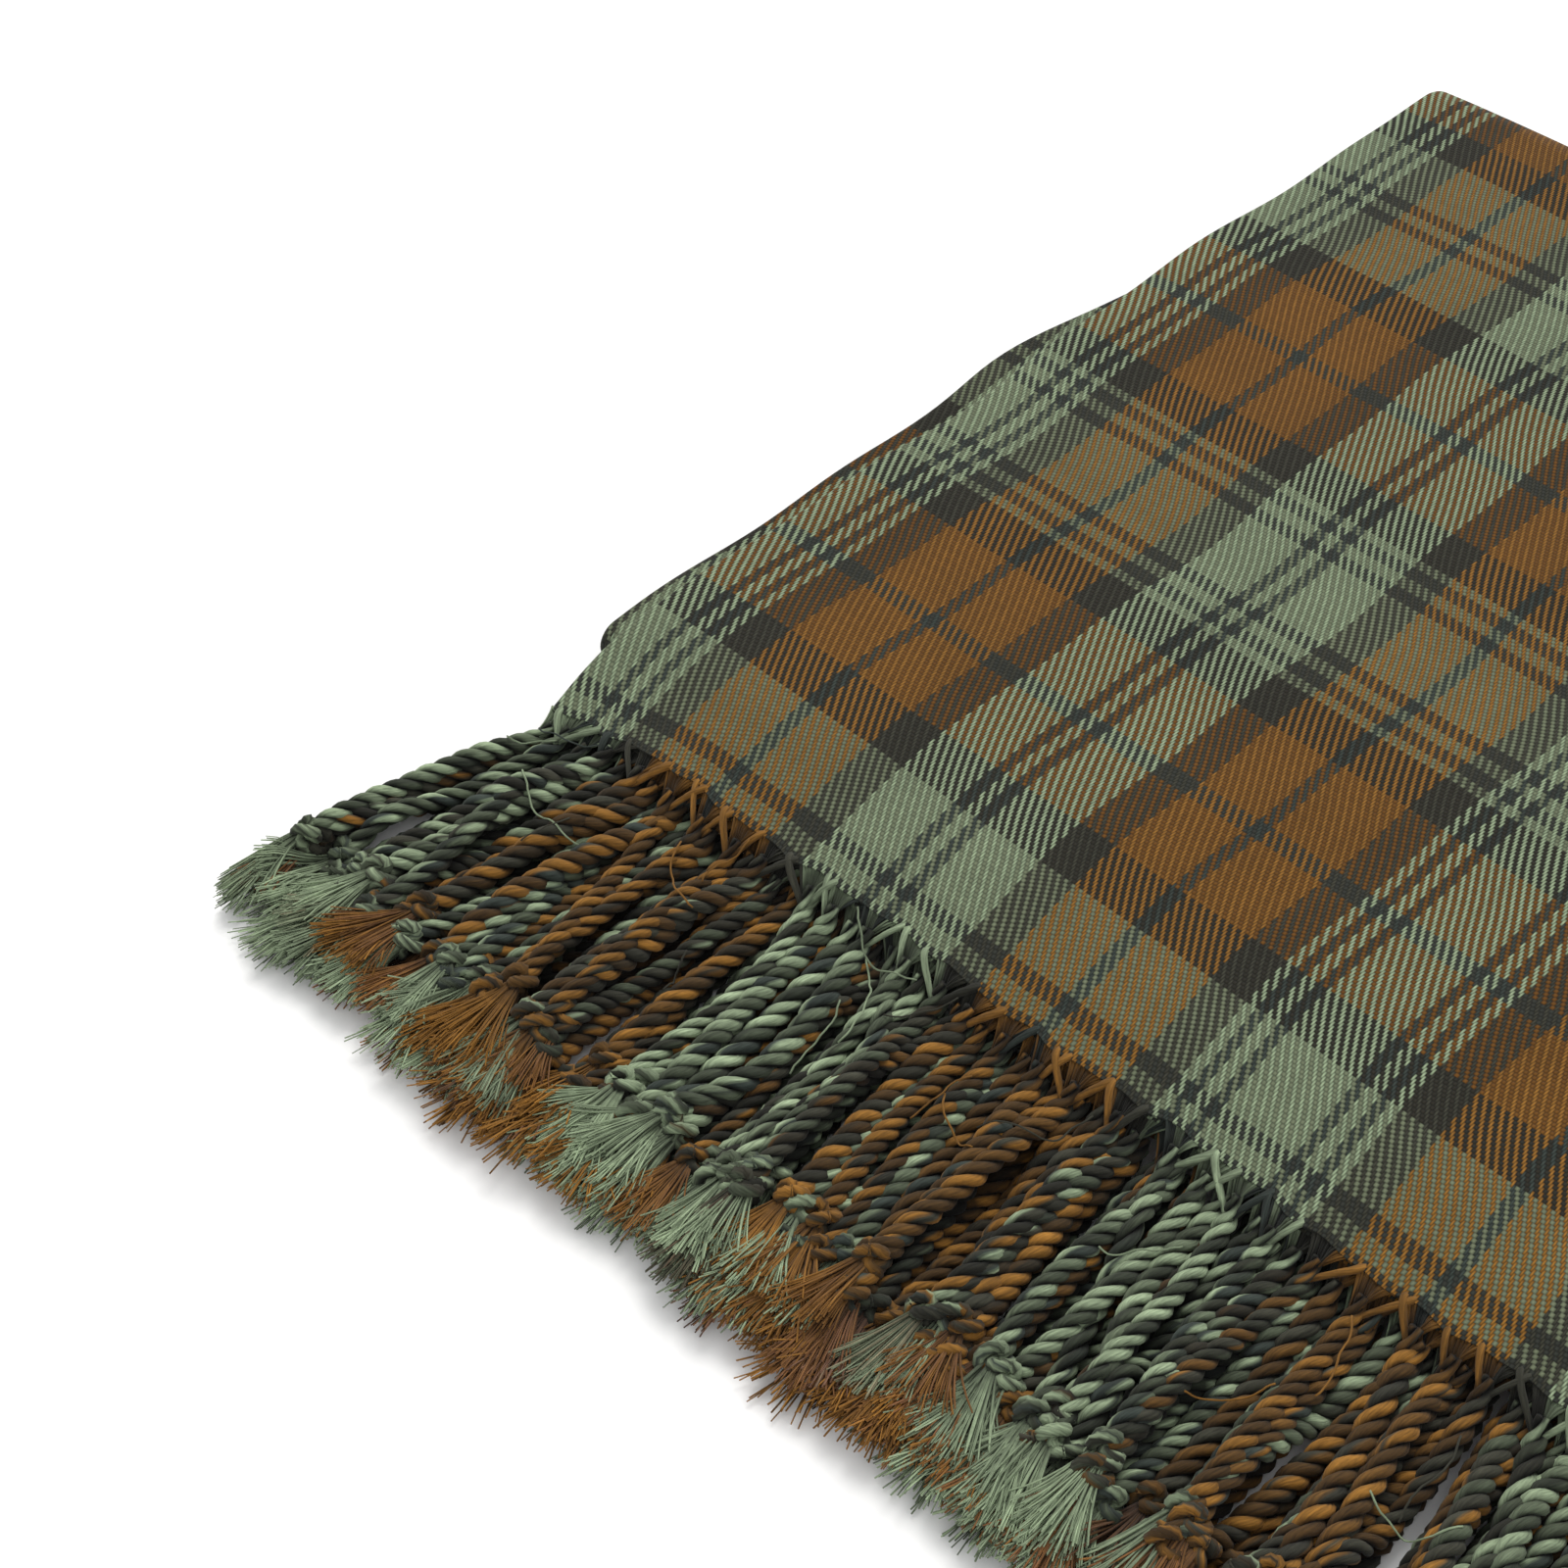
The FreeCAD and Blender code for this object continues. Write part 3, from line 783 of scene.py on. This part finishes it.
def stray_yarns(rng, pile, skyline):
    """Single yarns that have worked loose and lie over the cords."""
    for _ in range(STRAYS):
        x = X_LEFT + FLAT * rng.uniform(0.01, 0.99)
        start, place = cloth_end(x, PLIES - 1)
        begin = rng.uniform(0.0, 0.045)
        length = rng.uniform(0.012, 0.032)
        s = np.linspace(0, length, STRAY_POINTS)
        heading = math.radians(rng.normal(0, 28)) + np.cumsum(rng.normal(0, 0.16, STRAY_POINTS))
        step = length / (STRAY_POINTS - 1)
        px = x + np.cumsum(np.sin(heading)) * step
        py = start[1] - begin - np.cumsum(np.cos(heading)) * step
        pz = np.array([skyline.support(a, b, 0.0015) for a, b in zip(px, py)])
        pz = smooth(pz, 2) + YARN_R * 2 + 0.0012 * np.sin(s / length * math.pi)
        colour = sett_colour(thread_at(x, place)) * rng.uniform(0.8, 1.3)
        tube(pile, np.stack([px, py, pz], -1), YARN_R * 1.1, 4, np.tile(colour, (4, 1)))


def add_cord(rng, row, share, drift, heights, skyline, piles):
    """One cord of a row, with its knot and brush, laid on those already there."""
    cords, knots, brushes = piles
    ply, detail, unruly = HALF + row, row >= FINE_ROW, UNRULY[row]
    x = X_LEFT + share * FLAT + rng.normal(0, 0.0014) * unruly
    start, place = cloth_end(x, ply)
    left = math.exp(-share / LEFT_REACH)
    lean = math.radians(LEAN - LEFT_LEAN * left + LEAN_WAVE * math.sin(share * 9 + drift))
    length = CORD_LENGTH * rng.uniform(0.90, 1.06) + (0.0 if detail else UNDER_LONGER)
    loose, path = cord_route(rng, heights, start, lean, length, unruly)
    plies = cord_colours(rng, x, place)
    twisted_cord(rng, cords, path[3:], plies, detail)

    onward = path[-1] - path[-6]
    direction = onward / np.linalg.norm(onward)
    centre = path[-1] + direction * KNOT_R * 0.5
    end = centre + direction * KNOT_R * 0.6
    mixed = np.concatenate(plies)
    knot(rng, knots, centre, onward, mixed[rng.permutation(len(mixed))], detail)
    brighter = np.maximum(mixed, 0.6 * mixed.max(axis=0))
    brush(rng, brushes, skyline, end, onward, brighter, STRANDS[detail])
    if detail or min(share, 1 - share) < 0.12:
        gather(rng, cords, ply, x, place, path)
    if row == HALF - 1:
        root_bundles(rng, cords, ply, x, place, path)

    tips = end + np.linspace(0, 1, 12)[:, None] * direction * BRUSH_LENGTH
    tips[:, 2] = np.linspace(centre[2], 0.002, 12)
    for pile_map, line, radius in ((heights, loose[::2], CORD_R * 0.80), (skyline, path[::2], CORD_R)):
        pile_map.lay(line, radius)
        pile_map.lay(tips, BRUSH_R)


def build_fringe():
    rng = np.random.default_rng(SEED)
    heights, skyline = HeightMap(), HeightMap()
    piles = {}
    for row in range(HALF):
        if row != 1:  # the two lowest rows lean alike
            drift = rng.uniform(0, 6)
        row_piles = (Pile(), Pile(), Pile())
        for i in rng.permutation(CORDS):
            share = (i + 0.25 + 0.5 * (row % 2)) / CORDS
            add_cord(rng, row, share, drift, heights, skyline, row_piles)
        for kind, pile in zip(("cords", "knots", "brushes"), row_piles):
            piles["fringe_row_%d_%s" % (row + 1, kind)] = pile
    stray_yarns(rng, piles["fringe_row_%d_cords" % HALF], skyline)
    # painted shade on the yarn deep in the pile
    for pile in piles.values():
        pile.paint_pile_shade(skyline)
    return {name: pile.make(name) for name, pile in piles.items()}


# ---------------------------------------------------------------------------------------------
# Materials
# ---------------------------------------------------------------------------------------------
BUMP_DISTANCE, BUMP_STRENGTH = 0.0003, 0.8


class Nodes:
    """A material's node tree, with short calls for the maths that the weave needs."""

    def __init__(self, name):
        self.material = bpy.data.materials.new(name)
        self.material.use_nodes = True
        self.tree = self.material.node_tree
        self.shader = self.tree.nodes["Principled BSDF"]

    def link(self, value, socket):
        if isinstance(value, bpy.types.NodeSocket):
            self.tree.links.new(value, socket)
        else:
            socket.default_value = value

    def maths(self, operation, *values):
        node = self.tree.nodes.new("ShaderNodeMath")
        node.operation = operation
        for value, socket in zip(values, node.inputs):
            self.link(value, socket)
        return node.outputs[0]

    def noise(self, vector, scale, detail=2.0, roughness=0.5):
        node = self.tree.nodes.new("ShaderNodeTexNoise")
        self.link(vector, node.inputs["Vector"])
        node.inputs["Scale"].default_value = scale
        node.inputs["Detail"].default_value = detail
        node.inputs["Roughness"].default_value = roughness
        return node.outputs["Fac"]

    def mix(self, share, a, b, blend="MIX"):
        node = self.tree.nodes.new("ShaderNodeMix")
        node.data_type = "RGBA"
        node.blend_type = blend
        self.link(share, node.inputs["Factor"])
        self.link(a, node.inputs["A"])
        self.link(b, node.inputs["B"])
        return node.outputs["Result"]

    def span(self, value, low, high, to_low, to_high):
        node = self.tree.nodes.new("ShaderNodeMapRange")
        self.link(value, node.inputs["Value"])
        for name, number in zip(("From Min", "From Max", "To Min", "To Max"), (low, high, to_low, to_high)):
            node.inputs[name].default_value = number
        return node.outputs[0]

    def combine(self, x, y, z):
        node = self.tree.nodes.new("ShaderNodeCombineXYZ")
        for value, socket in zip((x, y, z), node.inputs):
            self.link(value, socket)
        return node.outputs[0]

    def bump(self, height, distance, strength):
        node = self.tree.nodes.new("ShaderNodeBump")
        self.link(height, node.inputs["Height"])
        node.inputs["Distance"].default_value = distance
        node.inputs["Strength"].default_value = strength
        self.tree.links.new(node.outputs[0], self.shader.inputs["Normal"])

    def uv(self):
        node = self.tree.nodes.new("ShaderNodeUVMap")
        node.uv_map = "cloth"
        parts = self.tree.nodes.new("ShaderNodeSeparateXYZ")
        self.tree.links.new(node.outputs[0], parts.inputs[0])
        return parts.outputs[0], parts.outputs[1]

    def random(self, vector):
        node = self.tree.nodes.new("ShaderNodeTexWhiteNoise")
        node.noise_dimensions = "2D"
        self.link(vector, node.inputs["Vector"])
        return node.outputs["Value"]


def sett_ramp(nodes, place, line):
    """The band colour at a place across the sett, given in UNITs from a wide pale band's centre. line
    is the colour of the thin lines."""
    folded = nodes.maths("PINGPONG", place, HALF_REPEAT)
    share = nodes.maths("DIVIDE", folded, HALF_REPEAT)
    ramp = nodes.tree.nodes.new("ShaderNodeValToRGB")
    ramp.color_ramp.interpolation = "CONSTANT"
    stops = ramp.color_ramp.elements
    while len(stops) < len(SETT):
        stops.new(1.0)
    for stop, (edge, colour) in zip(stops, SETT):
        stop.position = edge / HALF_REPEAT
        stop.color = (*(line if colour is LINE else colour), 1.0)
    nodes.link(share, ramp.inputs[0])
    return ramp.outputs[0]


TWILL = 4.0  # threads in the twill's repeat: over two, under two
END_WANDER, PICK_WANDER = 0.0004, 0.0012  # how far threads lie from straight
EDGE_WIDTH, EDGE_HEIGHT = 0.30, 0.25  # a thread's rounded edge: its width in threads and its height
END_PAINTED_LIGHT, PICK_PAINTED_LIGHT = (0.38, 1.30), (0.26, 0.68)  # painted shade where a float dips under and painted highlight at its middle, from a float's ends to its middle; the picks' lower range is painted shade on the recessed weft
END_TONES, PICK_TONES = (0.86, 1.12), (0.90, 1.08)  # from thread to thread
FIBRE_TONES, PATCH_TONES = (0.86, 1.16), (0.92, 1.08)
WEFT_HEIGHT, FIBRE_HEIGHT, FUZZ_HEIGHT = 0.75, 0.35, 0.5


def float_profile(n, count, start):
    """How high a thread's float stands along its length: 0 where it dips under, 1 in the middle."""
    repeat = n.maths("MULTIPLY", n.maths("FRACT", n.maths("DIVIDE", count, TWILL)), TWILL)
    along = n.maths("SUBTRACT", repeat, start)
    return n.maths("MAXIMUM", n.maths("SINE", n.maths("MULTIPLY", along, math.pi / 2)), 0.0)


def dull(n, roughness, specular, sheen=0.0, sheen_roughness=0.5):
    """Sets a cloth's or a yarn's plain shader values."""
    values = (
        ("Roughness", roughness),
        ("Specular IOR Level", specular),
        ("Sheen Weight", sheen),
        ("Sheen Roughness", sheen_roughness),
    )
    for name, value in values:
        n.shader.inputs[name].default_value = value
    return n.material


def cloth_material():
    """A brushed 2/2 twill in the tartan, thread by thread."""
    n = Nodes("woven_tartan")
    warp_place, weft_place = n.uv()
    wander = n.noise(n.combine(warp_place, weft_place, 0.0), 40.0, 2.0)
    warp_place = n.maths("ADD", warp_place, n.span(wander, 0.0, 1.0, -END_WANDER, END_WANDER))
    weft_wander = n.noise(n.combine(warp_place, weft_place, 9.0), 28.0, 2.0)
    weft_place = n.maths("ADD", weft_place, n.span(weft_wander, 0.0, 1.0, -PICK_WANDER, PICK_WANDER))
    end_number = n.maths("DIVIDE", warp_place, UNIT / ENDS_PER_UNIT)
    pick_number = n.maths("DIVIDE", weft_place, WEFT_UNIT / PICKS_PER_UNIT)
    end_index, pick_index = n.maths("FLOOR", end_number), n.maths("FLOOR", pick_number)

    end_place = n.maths("DIVIDE", n.maths("ADD", end_index, 0.5), float(ENDS_PER_UNIT))
    pick_place = n.maths("DIVIDE", n.maths("ADD", pick_index, 0.5), float(PICKS_PER_UNIT))
    warp_colour = sett_ramp(n, end_place, LINE)
    weft_sett = sett_ramp(n, n.maths("ADD", pick_place, HALF_REPEAT), WEFT_LINE)
    weft_colour = n.mix(1.0, weft_sett, WEFT_TINT, "MULTIPLY")

    step = n.maths("FRACT", n.maths("DIVIDE", n.maths("ADD", end_index, pick_index), TWILL))
    warp_up = n.maths("LESS_THAN", step, 0.5)
    across_end = n.maths("PINGPONG", end_number, 0.5)
    across_pick = n.maths("PINGPONG", pick_number, 0.5)
    warp_float = float_profile(n, n.maths("ADD", end_index, pick_number), 0.0)
    weft_float = float_profile(n, n.maths("ADD", end_number, pick_index), 2.0)
    warp_height = n.maths("MULTIPLY", warp_float, n.span(across_end, 0.0, EDGE_WIDTH, EDGE_HEIGHT, 1.0))
    weft_height = n.maths("MULTIPLY", weft_float, n.span(across_pick, 0.0, EDGE_WIDTH, EDGE_HEIGHT, 1.0))
    # painted shade and highlight on each float, from its height
    end_painted_light = n.span(warp_height, 0.0, 1.0, *END_PAINTED_LIGHT)
    pick_painted_light = n.span(weft_height, 0.0, 1.0, *PICK_PAINTED_LIGHT)
    end_tone = n.span(n.random(n.combine(end_index, 3.0, 0.0)), 0.0, 1.0, *END_TONES)
    pick_tone = n.span(n.random(n.combine(7.0, pick_index, 0.0)), 0.0, 1.0, *PICK_TONES)
    warp_lit = n.mix(1.0, warp_colour, n.maths("MULTIPLY", end_painted_light, end_tone), "MULTIPLY")
    weft_lit = n.mix(1.0, weft_colour, n.maths("MULTIPLY", pick_painted_light, pick_tone), "MULTIPLY")
    colour = n.mix(warp_up, weft_lit, warp_lit)

    fibre = n.noise(n.combine(warp_place, weft_place, 0.0), 2600.0, 2.0, 0.7)
    patch = n.noise(n.combine(warp_place, weft_place, 5.0), 28.0, 3.0)
    fine, broad = n.span(fibre, 0.25, 0.75, *FIBRE_TONES), n.span(patch, 0.3, 0.7, *PATCH_TONES)
    tone = n.maths("MULTIPLY", fine, broad)
    colour = n.mix(1.0, colour, tone, "MULTIPLY")
    n.link(colour, n.shader.inputs["Base Color"])
    fuzz = n.noise(n.combine(n.maths("MULTIPLY", warp_place, 3.0), weft_place, 1.0), 900.0, 3.0, 0.7)

    up_share = n.maths("MULTIPLY", warp_up, warp_height)
    weft_up = n.maths("SUBTRACT", 1.0, warp_up)
    down_share = n.maths("MULTIPLY", weft_up, n.maths("MULTIPLY", weft_height, WEFT_HEIGHT))
    height = n.maths("ADD", n.maths("ADD", up_share, down_share), n.maths("MULTIPLY", fibre, FIBRE_HEIGHT))
    height = n.maths("ADD", height, n.maths("MULTIPLY", fuzz, FUZZ_HEIGHT))
    n.bump(height, BUMP_DISTANCE, BUMP_STRENGTH)
    return dull(n, 0.92, 0.15, 0.03, 0.55)


def yarn_material(name, streaks, sheen):
    """Spun yarn: each side's own colour, with fine fibres running along it."""
    n = Nodes(name)
    attribute = n.tree.nodes.new("ShaderNodeVertexColor")
    attribute.layer_name = "yarn"
    around, along = n.uv()
    fibres = n.combine(n.maths("MULTIPLY", around, streaks), n.maths("MULTIPLY", along, 190.0), 0.0)
    fibre = n.noise(fibres, 1.0, 3.0, 0.65)
    patch = n.noise(n.combine(around, n.maths("MULTIPLY", along, 90.0), 2.0), 1.0, 2.0)
    tone = n.maths("MULTIPLY", n.span(fibre, 0.3, 0.7, 0.50, 1.50), n.span(patch, 0.3, 0.7, 0.85, 1.15))
    colour = n.mix(1.0, attribute.outputs["Color"], tone, "MULTIPLY")
    n.link(colour, n.shader.inputs["Base Color"])
    n.bump(fibre, BUMP_DISTANCE, BUMP_STRENGTH)
    return dull(n, 0.88, 0.25, sheen)


def floor_material():
    n = Nodes("pale_floor")
    n.shader.inputs["Base Color"].default_value = (0.86, 0.86, 0.86, 1.0)
    return dull(n, 0.9, 0.1)


# ---------------------------------------------------------------------------------------------
# Stage, light and camera
# ---------------------------------------------------------------------------------------------
FLOOR_SIZE, FLOOR_Z = 60.0, -0.0002
WORLD_STRENGTH = 0.8
AZIMUTH, ELEVATION = math.radians(44.3), math.radians(45.6)
CAMERA_UNITS = 13.971  # the camera's distance from its target
TARGET = (SETT_LEFT + 1.252 * UNIT, SETT_ROOT + 0.155 * UNIT, PACK_TOP)
LENS, SENSOR = 70.0, 36.0


def build_stage():
    bpy.ops.mesh.primitive_plane_add(size=FLOOR_SIZE, location=(0, 0, FLOOR_Z))
    floor = bpy.context.object
    floor.name = "floor"
    floor.data.materials.append(floor_material())


def soft_sun(name, towards, strength, spread, colour=(1, 1, 1)):
    data = bpy.data.lights.new(name, "SUN")
    data.energy, data.angle, data.color = strength, math.radians(spread), colour
    lamp = link(bpy.data.objects.new(name, data))
    lamp.location = towards
    lamp.rotation_euler = aim(towards)
    return lamp


def aim(away):
    """Turns an object's own +Z to point along away."""
    return Vector(away).to_track_quat("Z", "Y").to_euler()


def build_lights():
    world = bpy.data.worlds.new("studio")
    bpy.context.scene.world = world
    world.use_nodes = True
    background = world.node_tree.nodes["Background"]
    background.inputs["Color"].default_value = (1.0, 1.0, 1.0, 1.0)
    background.inputs["Strength"].default_value = WORLD_STRENGTH
    soft_sun("key", (-0.9, 1.2, 2.0), 2.1, 35, (1.0, 0.985, 0.96))
    soft_sun("fill", (1.6, -1.3, 1.6), 0.4, 60)


def build_camera():
    data = bpy.data.cameras.new("camera")
    camera = link(bpy.data.objects.new("camera", data))
    level = math.cos(ELEVATION)
    back = np.array([math.sin(AZIMUTH) * level, -math.cos(AZIMUTH) * level, math.sin(ELEVATION)])
    camera.location = np.array(TARGET) + back * CAMERA_UNITS * UNIT
    camera.rotation_euler = aim(back)
    data.sensor_width = SENSOR
    data.lens = LENS
    data.clip_start = 0.01
    bpy.context.scene.camera = camera


def numbered(pattern, numbers):
    return [pattern % k for k in numbers]


def place_cloth(cloth):
    """Gives the cloth pieces their material, hides the CAD nodes that they stand for and attaches the flat
    panels to the body that each moves with.
    """
    woven = cloth_material()
    for piece in cloth.values():
        piece.data.materials.append(woven)

    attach(cloth["cloth_lower_panels"], "lower_half")
    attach(cloth["cloth_second_panel"], "upper_half")
    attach(cloth["cloth_top_panel"], "upper_half")
    lower_nodes = numbered("lower_ply_%d", range(1, HALF + 1))
    lower_nodes += numbered("front_fold_ply_%d", range(1, WIDTH_FOLDS + 1))
    lower_nodes += ["lower_panel_%d_%s_fold" % (k, side) for k in (1, 2) for side in ("left", "right")]
    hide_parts(*lower_nodes)
    for name, panel, plies in (("cloth_second_panel", 1, (1, 2, 3)), ("cloth_top_panel", 2, (4, 5, 6))):
        nodes = numbered("upper_ply_%d", plies)
        nodes += ["upper_panel_%d_%s_fold" % (panel, side) for side in ("left", "right")]
        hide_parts(*nodes)

    for k in range(HALF):
        piece = cloth["cloth_back_fold_%d" % (k + 1)]
        node = "back_fold_ply_%d" % (k + 1)
        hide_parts(node)
        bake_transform(piece)


def place_fringe(fringe):
    materials = {
        "cord_yarn": yarn_material("cord_yarn", 13.0, 0.04),
        "brush_yarn": yarn_material("brush_yarn", 3.0, 0.05),
    }
    for name, piece in fringe.items():
        _, _, row, kind = name.split("_")
        slot = "brush_yarn" if kind == "brushes" else "cord_yarn"
        piece.data.materials.append(materials[slot])
        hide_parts("fringe_%s_%s" % (row, kind))
        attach(piece, "upper_half")


build_camera()
build_lights()
build_stage()
cloth_pieces = {**build_panels(), **build_back_folds()}
fringe_pieces = build_fringe()
place_cloth(cloth_pieces)
place_fringe(fringe_pieces)

bpy.context.scene.view_settings.view_transform = "Standard"
